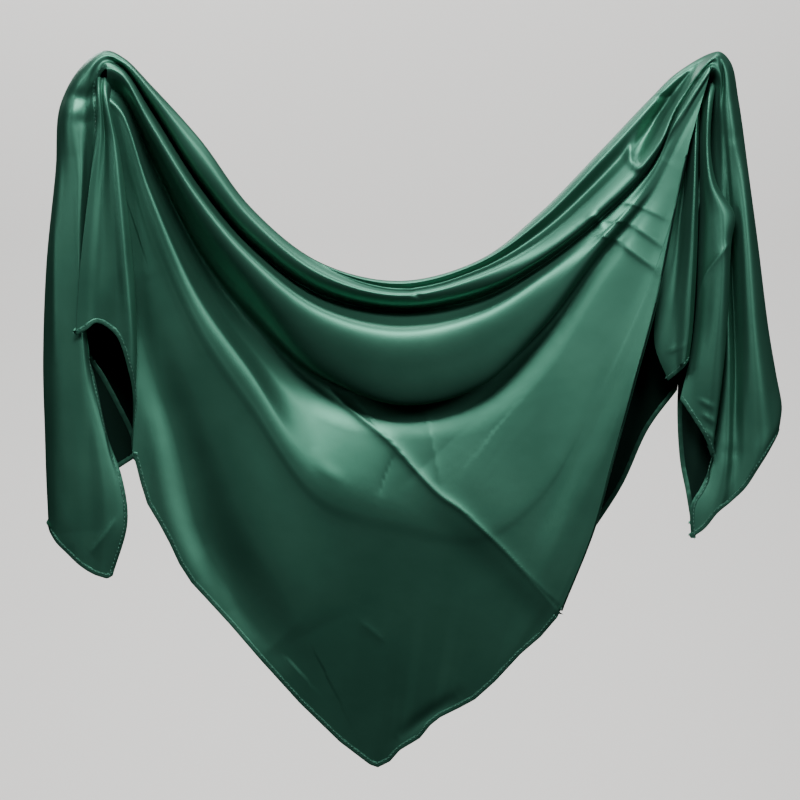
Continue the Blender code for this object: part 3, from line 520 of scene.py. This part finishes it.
# The ironed diagonal, down to the right end of the front layer's hem: (across, up).
DIAGONAL = ((124.5, -195), (135.8, -207), (147, -219.8), (162, -237), (177, -253.5), (192, -266.2),
            (207, -278.2), (222, -293.2), (237, -309.8), (252, -324.8), (267, -335.2), (282, -348.8),
            (297, -363), (312, -378.8), (327, -394.5), (342.8, -411))
CREASES = {"front": (
    Crease("valley_4", -7, 24, 13, ((18, -156), (22.5, -178.5), (28.5, -204.8), (38.2, -237.8),
        (49.5, -268.5), (57.8, -298.5), (64.5, -328.5), (74.2, -358.5), (90.8, -388.5), (108, -414.8),
        (132, -441))),
    Crease("ridge_5", 3, 45, 16, ((34.5, -156), (42, -178.5), (53.2, -208.5), (64.5, -237.8),
        (76.5, -268.5), (88.5, -298.5), (99, -328.5), (114, -358.5), (132, -388.5), (154.5, -433.5))),
    Crease("ridge_4", 1.5, 8, 7, ((26.2, -201), (30.8, -223.5), (34.5, -253.5), (39.8, -283.5),
        (44.2, -313.5), (51, -343.5), (60, -366), (70.5, -392.2))),
    Crease("hem_facet", 0.7, 6, 6, ((75.8, -362.2), (85.5, -384.8), (96, -412.5))),
    Crease("diagonal", 2, 3.5, 2.4, DIAGONAL, True),
    Crease("diagonal_slope", 3.5, 60, 14, ((233.2, -304.5), *DIAGONAL[9:], (364.5, -433.5))),
    Crease("corner", 0.5, 5, 5, ((159, -287.2), (163.5, -303), (180.8, -315.8))),
    Crease("facet_left", -0.9, 6, 3, ((218.2, -292.5), (210.8, -309.8), (205.5, -326.2)), True),
    Crease("facet_right", 1, 3, 6, ((240.8, -261), (246, -283.5), (252, -317.2)), True),
    Crease("short_line", 0.5, 3, 3, ((192, -418.5), (210.8, -433.5)), True),
    Crease("hem_curl", -1.5, 5, 5, ((220.5, -507), (240.8, -490.5), (265.5, -474))),
), "span": (
    Crease("panel_band", -1.8, 7, 7, ((423, -73.5), (409.5, -99.8), (387, -129.8), (363, -157.5),
        (339, -195))),
    Crease("iron_0", 0.7, 6, 1.6, ((381, -103.5), (402, -109.5), (420.8, -118.5)), True),
    Crease("iron_1", 1.1, 8, 1.8, ((364.5, -117), (381.8, -120), (390.8, -120.8), (402, -127.5),
        (420, -141)), True),
    Crease("iron_2", 1.3, 8, 1.8, ((357, -124.5), (375.8, -132), (383.2, -133.5), (394.5, -142.5),
        (417.8, -159.8)), True),
    Crease("crumple", 1.2, 2.5, 2.5, ((360, -120), (367.5, -116.2), (375, -126.8))),
), "roll": (
    Crease("pocket", -9, 4.5, 6, ((443.2, -7.5), (432, -21), (420.8, -34.5), (408, -54.8), (399, -73.5))),
    Crease("pocket_lip", 3, 3, 3, ((447, -12), (433.5, -37.5), (418.5, -58.5), (408, -72), (400.5, -79.5),
        (393.8, -72), (397.5, -58.5), (409.5, -45))),
    Crease("pinch_low", -1.3, 2.2, 2.2, ((225.8, -168.8), (238.5, -177.8))),
    Crease("pinch_high", -1.6, 2.2, 2.2, ((414, -27), (427.5, -22.5))),
), "left_tail": (
    Crease("dimple", -3.2, 6, 6, ((-30, -22.5), (-19.5, -27), (-12, -25.5), (-4.5, -18))),
    Crease("dimple_lip", 0.6, 5, 5, ((-36, -31.5), (-24, -38.2), (-13.5, -37.5), (-6, -30))),
    Crease("small_dimple", -0.8, 4, 4, ((-21, -45), (-9, -45.8))),
    Crease("side_line", 0.9, 2.5, 2.5, ((-38.2, -92.2), (-37.5, -156), (-36.8, -223.5))),
    Crease("foot_line", 1.1, 5, 3, ((10.5, -342), (0.8, -355.5), (-10.5, -369)), True),
    Crease("tail_swell", 3, 26, 10, ((-30, -66), (-31.5, -141), (-30.8, -216), (-28.5, -291),
        (-22.5, -358.5))),
), "right_tail": (
    Crease("dark_side", -5.5, 6, 7, ((472.5, -58.5), (473.2, -148.5), (474, -223.5), (471, -291))),
    Crease("stripe", 2.5, 10, 8, ((480.8, -36), (487.5, -126), (492, -201), (495, -276), (484.5, -321))),
), "back": (
    Crease("back_swag", 7, 20, 20, ((120, -215), (170, -265), (222, -285), (280, -268), (335, -215))),
    Crease("back_right_fan", 6, 22, 22, ((450, -60), (436, -120), (412, -185), (380, -255), (345, -320),
        (310, -375))),
    Crease("back_left_fan", 6, 22, 22, ((8, -60), (22, -120), (45, -185), (75, -250), (110, -320),
        (140, -380))),
), "outer_pleat_cloth": (
    Crease("slant", 2.2, 3.5, 3, ((470.2, -134.2), (459, -147), (450.8, -158.2), (446.2, -172.5),
        (444.8, -189.8)), True),
    Crease("pucker_1", 0.8, 1.6, 1.6, ((445.5, -253.5), (456.8, -259.5))),
    Crease("pucker_2", 0.9, 1.6, 1.6, ((447.8, -264), (457.5, -270.8))),
    Crease("pucker_3", 0.8, 1.6, 1.6, ((450, -276), (456.8, -283.5))),
), "inner_pleat_cloth": (
    Crease("pucker_4", 0.8, 1.6, 1.6, ((423, -217.5), (435, -212.2))),
)}


def crease_field(place, crease):
    """How far a crease lifts the cloth at each place (across, up) of the front view."""
    path = evenly(crease.path, CREASE_STEPS * len(crease.path))
    lengths = steps(path)
    start = running(lengths)
    nearest = np.full(len(place), np.inf)
    along = np.zeros(len(place))
    turned = np.zeros(len(place))
    for k, length in enumerate(lengths):
        direction = (path[k + 1] - path[k]) / length
        offset = place - path[k]
        reach = np.clip(offset @ direction, 0, length)
        distance = np.linalg.norm(offset - reach[:, None] * direction, axis=-1)
        side = direction[0] * offset[:, 1] - direction[1] * offset[:, 0]
        closer = distance < nearest
        nearest = np.where(closer, distance, nearest)
        along = np.where(closer, (start[k] + reach) / start[-1], along)
        turned = np.where(closer, side, turned)
    width = np.where(turned > 0, crease.left, crease.right)
    fade = np.sin(np.pi * np.clip(along, CREASE_END, 1 - CREASE_END)) ** CREASE_FADE
    power = 1 if crease.sharp else 2
    return crease.height * fade * np.exp(-(nearest / width) ** power)


def raise_creases(points, region, part):
    """Adds the creases of a part to the places of a grid that a mask picks out."""
    for crease in CREASES[part]:
        path = np.array(crease.path)
        margin = CREASE_REACH * max(crease.left, crease.right)
        low = path.min(axis=0) - margin
        high = path.max(axis=0) + margin
        place = points[..., :2]
        near = region & (place > low).all(axis=-1) & (place < high).all(axis=-1)
        points[near, 2] += crease_field(place[near], crease)


# -------- things in the scene
def new_object(name, data):
    """A new object in the scene."""
    made = bpy.data.objects.new(name, data)
    bpy.context.scene.collection.objects.link(made)
    return made


def set_inputs(made, values):
    """Sets constants on a node's inputs, and gives the node back."""
    for name, value in values.items():
        made.inputs[name].default_value = value
    return made


def new_material(name, values):
    """A material whose shader has these constants."""
    material = bpy.data.materials.new(name)
    material.use_nodes = True
    set_inputs(material.node_tree.nodes["Principled BSDF"], values)
    return material


# -------- meshes
Grid = namedtuple("Grid", "points normals")


def to_scene(points):
    """(across, up, forward) in millimetres to the scene's x, y, z in metres."""
    return np.asarray(points)[..., [0, 2, 1]] * (METRE, -METRE, METRE)


def sheet_faces(there):
    """Four-sided faces between the grid points that are there."""
    rows, columns = there.shape
    full = there[:-1, :-1] & there[1:, :-1] & there[1:, 1:] & there[:-1, 1:]
    row, column = np.nonzero(full)
    number = np.arange(rows * columns).reshape(rows, columns)
    return np.column_stack([number[row, column], number[row + 1, column],
                            number[row + 1, column + 1], number[row, column + 1]])


def make_mesh(name, points, faces, normals=None, materials=(), face_material=None, uv=None):
    """A smooth mesh object from points in millimetres."""
    mesh = bpy.data.meshes.new(name)
    mesh.from_pydata(to_scene(points).tolist(), [], [list(map(int, face)) for face in faces])
    mesh.update()
    mesh.shade_smooth()
    for material in materials:
        mesh.materials.append(material)
    if face_material is not None:
        mesh.polygons.foreach_set("material_index", np.asarray(face_material, dtype=np.int32))
    if uv is not None:
        corner = np.empty(len(mesh.loops), dtype=np.int32)
        mesh.loops.foreach_get("vertex_index", corner)
        layer = mesh.uv_layers.new(name="weave")
        layer.data.foreach_set("uv", np.asarray(uv, float)[corner].reshape(-1))
    if normals is not None:
        turned = np.asarray(normals)[:, [0, 2, 1]] * (1, -1, 1)
        mesh.normals_split_custom_set_from_vertices(turned.tolist())
    return new_object(name, mesh)


def flat_places(points):
    """Places of a grid's points on the flat cloth, in metres, for the weave."""
    down = np.nan_to_num(steps(points)).max(axis=1)
    side = np.nan_to_num(steps(points.swapaxes(0, 1))).max(axis=1)
    return np.stack(np.meshgrid(running(side), running(down)), axis=-1) * METRE


def cloth_piece(name, grid, satin, inside):
    """A thin shell with the satin on its outer side and its duller back inside, whose near-black colour is
    painted shade.
    """
    points, normals = grid
    there = np.isfinite(points[..., 0])
    used = there.sum()
    keep = np.full(there.size, -1)
    keep[there.reshape(-1)] = np.arange(used)
    faces = keep[sheet_faces(there)]
    half = normals * THICKNESS / 2
    outer = (points + half)[there]
    inner = (points - half)[there]
    edges = np.concatenate([faces[:, [k, (k + 1) % 4]] for k in range(4)])
    known = {tuple(edge) for edge in edges.tolist()}
    rim = [(b, a, a + used, b + used) for a, b in known if (b, a) not in known]
    rim.sort()
    all_faces = np.concatenate([faces, faces[:, ::-1] + used, np.array(rim)])
    sides = np.concatenate([np.zeros(len(faces)), np.ones(len(faces)), np.zeros(len(rim))])
    flat = flat_places(points)[there]
    facings = normals[there]
    return make_mesh(name, np.concatenate([outer, inner]), all_faces,
                     np.concatenate([facings, -facings]), (satin, inside), sides,
                     np.concatenate([flat, flat]))


# -------- hems
# Profile of the rolled hem, from its front over the edge to its back: (inwards, outwards).
HEM_PROFILE = ((3.7, 0.14), (3.4, 0.30), (2.6, 0.34), (1.4, 0.38), (0.4, 0.32), (-0.05, 0.1),
               (-0.05, -0.1), (0.4, -0.32), (1.4, -0.38), (3.4, -0.30), (3.7, -0.14))
Edge = namedtuple("Edge", "line inner normal")


def row_edge(grid, side):
    """The first (side 0) or the last (side -1) row of a grid, as an edge for a hem."""
    line, inner = (0, HEM_ROWS) if side == 0 else (-1, -1 - HEM_ROWS)
    there = np.isfinite(grid.points[line, :, 0]) & np.isfinite(grid.points[inner, :, 0])
    there &= np.isfinite(grid.normals[line, :, 0])
    return Edge(grid.points[line][there], grid.points[inner][there], grid.normals[line][there])


def column_edge(grid, side):
    """The first (side 0) or the last (side -1) column of a grid, as an edge for a hem."""
    turned = Grid(grid.points.swapaxes(0, 1), grid.normals.swapaxes(0, 1))
    return row_edge(turned, side)


def even_edge(edge, step):
    """The same edge, read at even steps along its length."""
    start = running(steps(edge.line))
    where = np.linspace(0, start[-1], max(2, int(start[-1] / step) + 1))
    read = [np.stack([np.interp(where, start, values[:, k]) for k in range(3)], axis=1)
            for values in edge]
    return where, Edge(*read)


def edge_frame(edge):
    """Unit vectors along, into and out of the cloth at an edge."""
    along = unit(np.gradient(edge.line, axis=0))
    out = unit(edge.normal - (edge.normal * along).sum(axis=1, keepdims=True) * along)
    inward = np.cross(out, along)
    towards = ((edge.inner - edge.line) * inward).sum(axis=1, keepdims=True)
    return along, inward * np.sign(towards), out


def ripple(where):
    """Uneven puckers along a hem, between -1 and 1."""
    return sum(np.sin(where * rate + start) for rate, start in RIPPLES) / len(RIPPLES)


def hem_piece(name, edges, material):
    """A narrow rolled hem along edges."""
    points, faces, places = [], [], []
    for edge in edges:
        where, edge = even_edge(edge, HEM_STEP)
        along, inward, out = edge_frame(edge)
        swell = 1 + HEM_SWELL * ripple(where)[:, None]
        first = len(points)
        width = len(HEM_PROFILE)
        rings = [edge.line + inward * reach + out * rise * swell for reach, rise in HEM_PROFILE]
        rings = np.stack(rings, axis=1)
        points.extend(rings.reshape(-1, 3))
        places.extend((reach * METRE, w * METRE) for w in where for reach, _ in HEM_PROFILE)
        for k in range(len(where) - 1):
            for j in range(width - 1):
                a = first + k * width + j
                faces.append((a, a + 1, a + width + 1, a + width))
    return make_mesh(name, np.array(points), faces, materials=(material,), uv=np.array(places))


def stitch_piece(name, edges, material):
    """A row of stitches along hems, each a short rod whose ends dip into the cloth."""
    points, faces = [], []
    sides = STITCH_SIDES
    reach = STITCH_LENGTH / 2
    turns = 2 * np.pi * np.arange(sides) / sides
    for edge in edges:
        where, edge = even_edge(edge, STITCH_PITCH)
        along, inward, out = edge_frame(edge)
        middle = edge.line + inward * STITCH_INSET + out * STITCH_HEIGHT
        for centre, ahead, side, up in zip(middle, along, inward, out):
            first = len(points)
            ring = [STITCH_RADIUS * (np.cos(turn) * side + np.sin(turn) * up) for turn in turns]
            for end in (-reach, reach):
                points.extend(centre + ahead * STITCH_BODY * end + spoke for spoke in ring)
            for end in (-reach, reach):
                points.append(centre + ahead * end - up * STITCH_RADIUS)
            for k in range(sides):
                n = (k + 1) % sides
                faces.append((first + k, first + n, first + sides + n, first + sides + k))
                faces.append((first + n, first + k, first + 2 * sides))
                faces.append((first + sides + k, first + sides + n, first + 2 * sides + 1))
    return make_mesh(name, np.array(points), faces, materials=(material,))


# -------- materials
Satin = namedtuple("Satin", "dark light finish")
SATIN = Satin((0.042, 0.149, 0.100, 1), (0.056, 0.184, 0.125, 1),
              {"Roughness": 0.48, "Metallic": 0.85, "Anisotropic": 0.3, "Specular IOR Level": 0.5,
               "Sheen Weight": 0.02})
# The cloth's back faces: rough and dull like the wrong side of satin, and coloured near black, which is
# painted shade for the shade between the layers.
INSIDE_PAINTED_SHADE = Satin((0.004, 0.013, 0.009, 1), (0.006, 0.018, 0.013, 1),
               {"Roughness": 0.8, "Metallic": 0, "Anisotropic": 0, "Specular IOR Level": 0.02,
                "Sheen Weight": 0})
SHEEN = {"Sheen Roughness": 0.5, "Sheen Tint": (0.35, 0.8, 0.6, 1)}
TONE_NOISE = {"Scale": 14, "Detail": 3}  # broad patches of tone
TONE_ENDS = (0.35, 0.7)  # where dark and light are full
RIB_WAVE = {"Scale": 900, "Distortion": 1.5, "Detail": 1}  # ribs of the weave
RIB_BUMP = {"Strength": 0.05, "Distance": 0.0001}
RUMPLE_NOISE = {"Scale": 60, "Detail": 3}  # soft unevenness of the cloth
RUMPLE_BUMP = {"Strength": 0.25, "Distance": 0.0006}
THREAD = {"Base Color": (0.05, 0.20, 0.14, 1), "Roughness": 0.55, "Sheen Weight": 0.2}


def satin_material(name, satin):
    """Woven satin: a metallic lustre along its threads, fine ribs and a little unevenness."""
    material = new_material(name, satin.finish | SHEEN)
    tree = material.node_tree
    shader = tree.nodes["Principled BSDF"]
    place = tree.nodes.new("ShaderNodeTexCoord")
    weave = tree.nodes.new("ShaderNodeUVMap")
    weave.uv_map = "weave"
    tangent = tree.nodes.new("ShaderNodeTangent")
    tangent.direction_type = "UV_MAP"
    tangent.uv_map = "weave"
    tone = set_inputs(tree.nodes.new("ShaderNodeTexNoise"), TONE_NOISE)
    ramp = tree.nodes.new("ShaderNodeValToRGB")
    for stop, position, colour in zip(ramp.color_ramp.elements, TONE_ENDS, (satin.dark, satin.light)):
        stop.position = position
        stop.color = colour
    ribs = set_inputs(tree.nodes.new("ShaderNodeTexWave"), RIB_WAVE)
    fine = set_inputs(tree.nodes.new("ShaderNodeBump"), RIB_BUMP)
    rumple = set_inputs(tree.nodes.new("ShaderNodeTexNoise"), RUMPLE_NOISE)
    broad = set_inputs(tree.nodes.new("ShaderNodeBump"), RUMPLE_BUMP)
    links = ((tangent, "Tangent", shader, "Tangent"),
             (place, "Object", tone, "Vector"), (tone, "Fac", ramp, "Fac"),
             (ramp, "Color", shader, "Base Color"),
             (weave, "UV", ribs, "Vector"), (ribs, "Fac", fine, "Height"),
             (place, "Object", rumple, "Vector"), (rumple, "Fac", broad, "Height"),
             (fine, "Normal", broad, "Normal"), (broad, "Normal", shader, "Normal"))
    for source, result, target, socket in links:
        tree.links.new(source.outputs[result], target.inputs[socket])
    return material


def thread_material():
    """Sewing thread, a little lighter than the cloth."""
    return new_material("thread", THREAD)


# -------- studio (metres, watts)
FLOOR = -0.75                  # height of the floor
FLOOR_SIDES = (-0.40, 0.85)    # its left and right edges
FRONT_EDGE = 0.35              # its front edge, behind the scarf
WALL_BACK = 1.6                # where the backdrop stands
WALL_TOP = 0.4                 # its upper edge
BEND = 0.7                     # radius between floor and backdrop
BEND_DEGREES = range(10, 91, 10)
PAINT = {"Base Color": (0.72, 0.71, 0.69, 1), "Roughness": 0.9, "Specular IOR Level": 0.1}
WORLD = {"Color": (0.85, 0.93, 1.0, 1), "Strength": 0.012}
EYE = (0.222, -2.4, -0.2535)   # the camera, level with the middle of the picture
VIEW_WIDTH = 0.6               # width of the picture at the scarf
SENSOR = 36                    # millimetres
# Each light: its name, place, aim, width, height and watts.
LIGHTS = (
    ("key", (0.16, -0.90, 1.02), (0.22, 0, -0.2), 0.6, 0.5, 35),
    ("right_key", (1.4, -0.9, 0.60), (0.25, 0, -0.2), 0.4, 0.7, 11),
    ("left_key", (-1.0, -0.9, 0.55), (0.2, 0, -0.2), 0.4, 0.7, 5),
    ("back_light", (-0.5, 1.3, 0.8), (0.25, 0, -0.25), 0.5, 0.5, 8),
    ("wall_light", (0.22, 0.5, 1.6), (0.22, 1.5, -0.3), 2.0, 0.5, 60),
)


# -------- building
# What each cloth piece stands for: its CAD nodes, flat cut in metres and square metres, how it
# hangs, and the hems on it.
Sheet = namedtuple("Sheet", "nodes flat area held hems")
SHEETS = {
    "back_layer": Sheet(("back_fall",), (0.68, 0.33), 0.137, "hung", ("back_hem",)),
    "swags": Sheet(("upper_roll", "second_swag"), (0.69, 0.16), 0.067, "gathered", ()),
    "third_swag_cloth": Sheet(("third_swag",), (0.78, 0.11), 0.035, "gathered", ()),
    "front_layer": Sheet(("front_fall",), (0.70, 0.37), 0.083, "hung", ("front_hem",)),
    "left_tail_cloth": Sheet(("left_tail",), (0.165, 0.40), 0.033, "gathered",
                             ("left_tail_hem",)),
    "right_tail_cloth": Sheet(("right_tail",), (0.21, 0.365), 0.035, "gathered",
                              ("right_tail_hem",)),
    "left_pleat_cloth": Sheet(("left_pleats",), (0.14, 0.27), 0.0125, "gathered", ()),
    "outer_pleat_cloth": Sheet(("right_outer_pleat",), (0.06, 0.30), 0.0101, "gathered",
                               ("pleat_hems",)),
    "inner_pleat_cloth": Sheet(("right_inner_pleat",), (0.04, 0.22), 0.0059, "gathered", ()),
}


def pleat_grid(table):
    """The grid of a pleat that hangs free of the rest."""
    lines = np.array([row[1:] for row in table], float)
    along = spread(lines.transpose(1, 0, 2), CELL)
    lines = np.stack([through(line, along) for line in lines])
    return through(lines, spread(lines, PLEAT_CELL))


def crease_regions(drape):
    """Masks of the grid for the parts that creases belong to."""
    rows, columns = drape.points.shape[:2]
    row = np.arange(rows)[:, None]
    column = np.arange(columns)[None, :]
    top, hold, valley = map(drape.row_of, ("top_edge", "swag_crest", "valley_2"))
    middle = (column >= drape.left) & (column < drape.right)
    tails = (row >= top) & (row <= hold)
    return {
        "back": middle & (row < top),
        "roll": middle & (row > top) & (row < valley),
        "front": middle & (row >= valley),
        "span": middle & (row > top),
        "left_tail": tails & (column < drape.left),
        "right_tail": tails & (column >= drape.right),
    }


def cloth_grids():
    """Points and normals of every cloth piece."""
    drape = Drape()
    points = drape.points
    for part, region in crease_regions(drape).items():
        raise_creases(points, region, part)
    normals = facing(points)
    strands = ("back_valley", "top_edge", "swag_crest", "valley_2", "ridge_3")
    back_hold, top, hold, valley, fall = map(drape.row_of, strands)
    middle = slice(drape.left, drape.right)
    left = slice(0, drape.left + 1)
    cuts = {
        "back_layer": (slice(0, top + 1), middle),
        "swags": (slice(top, valley + 1), middle),
        "third_swag_cloth": (slice(valley, fall + 1), middle),
        "front_layer": (slice(fall, None), slice(drape.left, None)),
        "left_tail_cloth": (slice(back_hold, hold + 1), left),
        "right_tail_cloth": (slice(back_hold, hold + 1), slice(drape.right - 1, None)),
        "left_pleat_cloth": (slice(fall, None), left),
    }
    grids = {name: Grid(points[cut], normals[cut]) for name, cut in cuts.items()}
    for name, table in RIGHT_PLEATS.items():
        grid = pleat_grid(table)
        raise_creases(grid, np.isfinite(grid[..., 0]), name)
        grids[name] = Grid(grid, facing(grid))
    return grids


def tail_edges(grid, side):
    """A tail's hem runs along its foot and up both of its free sides."""
    there = np.isfinite(grid.points[..., 0]).all(axis=0)
    tail = Grid(grid.points[:, there], grid.normals[:, there])
    return [column_edge(tail, side), row_edge(tail, 0), row_edge(tail, -1)]


def hem_edges(grids):
    """The edges that each hem piece follows."""
    return {
        "front_hem": [row_edge(grids["front_layer"], -1), row_edge(grids["left_pleat_cloth"], -1)],
        "back_hem": [row_edge(grids["back_layer"], 0)],
        "left_tail_hem": tail_edges(grids["left_tail_cloth"], 0),
        "right_tail_hem": tail_edges(grids["right_tail_cloth"], -1),
        "pleat_hems": [column_edge(grids[name], -1) for name in RIGHT_PLEATS],
    }


def make_scarf():
    """Builds the cloth, hems and stitches, hides the CAD parts that the cloth pieces stand for, and
    attaches every piece to the root body.
    """
    satin = satin_material("satin", SATIN)
    # The back faces' material: a dull finish, with a near-black colour that is painted shade.
    inside = satin_material("satin_inside", INSIDE_PAINTED_SHADE)
    thread = thread_material()
    grids = cloth_grids()
    pieces = {name: cloth_piece(name, grid, satin, inside) for name, grid in grids.items()}
    for name, edges in hem_edges(grids).items():
        pieces[name] = hem_piece(name, edges, satin)
        pieces[name + "_stitches"] = stitch_piece(name + "_stitches", edges, thread)
    for name, sheet in SHEETS.items():
        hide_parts(*sheet.nodes)
    for piece in pieces.values():
        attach(piece, "root")


def add_light(name, place, aim, width, height, watts):
    """A rectangular light that faces its aim."""
    lamp = bpy.data.lights.new(name, "AREA")
    lamp.shape = "RECTANGLE"
    lamp.size = width
    lamp.size_y = height
    lamp.energy = watts
    light = new_object(name, lamp)
    light.location = place
    light.rotation_mode = "QUATERNION"
    light.rotation_quaternion = (Vector(aim) - Vector(place)).to_track_quat("-Z", "Y")


def sweep(name):
    """A pale floor that curves up into a backdrop."""
    profile = [(FRONT_EDGE, FLOOR), (WALL_BACK - BEND, FLOOR)]
    for angle in np.radians(BEND_DEGREES):
        profile.append((WALL_BACK - BEND + BEND * np.sin(angle), FLOOR + BEND * (1 - np.cos(angle))))
    profile.append((WALL_BACK, WALL_TOP))
    points = [(x, y, z) for y, z in profile for x in FLOOR_SIDES]
    faces = [(2 * k, 2 * k + 1, 2 * k + 3, 2 * k + 2) for k in range(len(profile) - 1)]
    mesh = bpy.data.meshes.new(name)
    mesh.from_pydata(points, [], faces)
    mesh.shade_smooth()
    mesh.materials.append(new_material(name, PAINT))
    new_object(name, mesh)


def studio():
    """Floor, backdrop, faint surroundings and lights."""
    world = bpy.data.worlds.new("studio")
    bpy.context.scene.world = world
    world.use_nodes = True
    set_inputs(world.node_tree.nodes["Background"], WORLD)
    sweep("studio_floor")
    for light in LIGHTS:
        add_light(*light)


def camera():
    """The photograph's view, straight from the front."""
    lens = bpy.data.cameras.new("camera")
    lens.sensor_width = SENSOR
    lens.lens = SENSOR * -EYE[1] / VIEW_WIDTH
    eye = new_object("camera", lens)
    eye.location = EYE
    eye.rotation_euler = (np.pi / 2, 0, 0)
    bpy.context.scene.camera = eye


make_scarf()
studio()
camera()
